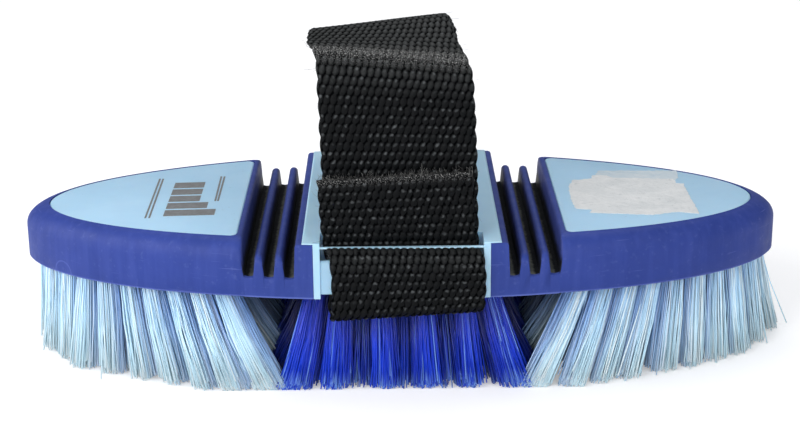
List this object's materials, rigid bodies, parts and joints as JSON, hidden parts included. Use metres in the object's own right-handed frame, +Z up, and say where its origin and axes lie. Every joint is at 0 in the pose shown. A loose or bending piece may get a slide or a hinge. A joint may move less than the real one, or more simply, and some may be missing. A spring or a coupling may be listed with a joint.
{
  "type": "flexible grooming brush",
  "caption": "Oval body brush in three hinged blocks joined by ribbed rubber bellows, with stiff bristles below and a webbing hand strap looped over the middle block.",
  "frame": {"origin": "middle of the footprint, on the plane of the bristle tips", "axes": "X along the brush, Y across it from the front of the picture to the back, Z up from the bristle tips"},
  "size_m": [0.1988, 0.0838, 0.0873],
  "materials": {
    "light_blue_plastic": "fine satin moulding",
    "blue_rubber": "satin soft rubber",
    "flex_web": "dull",
    "pale_bristle": "translucent filament",
    "blue_bristle": "translucent filament",
    "black_webbing": "ribbed plain weave"
  },
  "bodies": {
    "centre": {"centre_core": "light_blue_plastic", "centre_bristles": "blue_bristle", "left_collar": "blue_rubber", "right_collar": "blue_rubber", "hand_strap": "black_webbing", "left_inner_web": "flex_web", "right_inner_web": "flex_web"},
    "left_inner": {"left_inner_rib": "blue_rubber", "left_middle_web": "flex_web"},
    "left_outer": {"left_outer_rib": "blue_rubber", "left_outer_web": "flex_web"},
    "left_end": {"left_core": "light_blue_plastic", "left_rim": "blue_rubber", "left_bristles": "pale_bristle"},
    "right_inner": {"right_inner_rib": "blue_rubber", "right_middle_web": "flex_web"},
    "right_outer": {"right_outer_rib": "blue_rubber", "right_outer_web": "flex_web"},
    "right_end": {"right_core": "light_blue_plastic", "right_rim": "blue_rubber", "right_bristles": "pale_bristle"}
  },
  "joints": [
    {"name": "left_inner_bend", "type": "hinge", "parent": "centre", "child": "left_inner", "pos_m": [-0.02775, 0, 0.0269], "axis": [0, 1, 0], "range_deg": [-8, 8], "stiffness_Nm_per_rad": 4, "deforming": ["left_inner_web"]},
    {"name": "left_middle_bend", "type": "hinge", "parent": "left_inner", "child": "left_outer", "pos_m": [-0.0328, 0, 0.0269], "axis": [0, 1, 0], "range_deg": [-8, 8], "deforming": ["left_middle_web"]},
    {"name": "left_outer_bend", "type": "hinge", "parent": "left_outer", "child": "left_end", "pos_m": [-0.03785, 0, 0.0269], "axis": [0, 1, 0], "range_deg": [-8, 8], "deforming": ["left_outer_web", "left_bristles"]},
    {"name": "right_inner_bend", "type": "hinge", "parent": "centre", "child": "right_inner", "pos_m": [0.02775, 0, 0.0269], "axis": [0, -1, 0], "range_deg": [-8, 8], "stiffness_Nm_per_rad": 4, "deforming": ["right_inner_web"]},
    {"name": "right_middle_bend", "type": "hinge", "parent": "right_inner", "child": "right_outer", "pos_m": [0.0328, 0, 0.0269], "axis": [0, -1, 0], "range_deg": [-8, 8], "deforming": ["right_middle_web"]},
    {"name": "right_outer_bend", "type": "hinge", "parent": "right_outer", "child": "right_end", "pos_m": [0.03785, 0, 0.0269], "axis": [0, -1, 0], "range_deg": [-8, 8], "deforming": ["right_outer_web", "right_bristles"]}
  ],
  "couplings": [
    {"joint": "left_middle_bend", "follows": "left_inner_bend", "ratio": 1},
    {"joint": "left_outer_bend", "follows": "left_inner_bend", "ratio": 1},
    {"joint": "right_middle_bend", "follows": "right_inner_bend", "ratio": 1},
    {"joint": "right_outer_bend", "follows": "right_inner_bend", "ratio": 1}
  ]
}
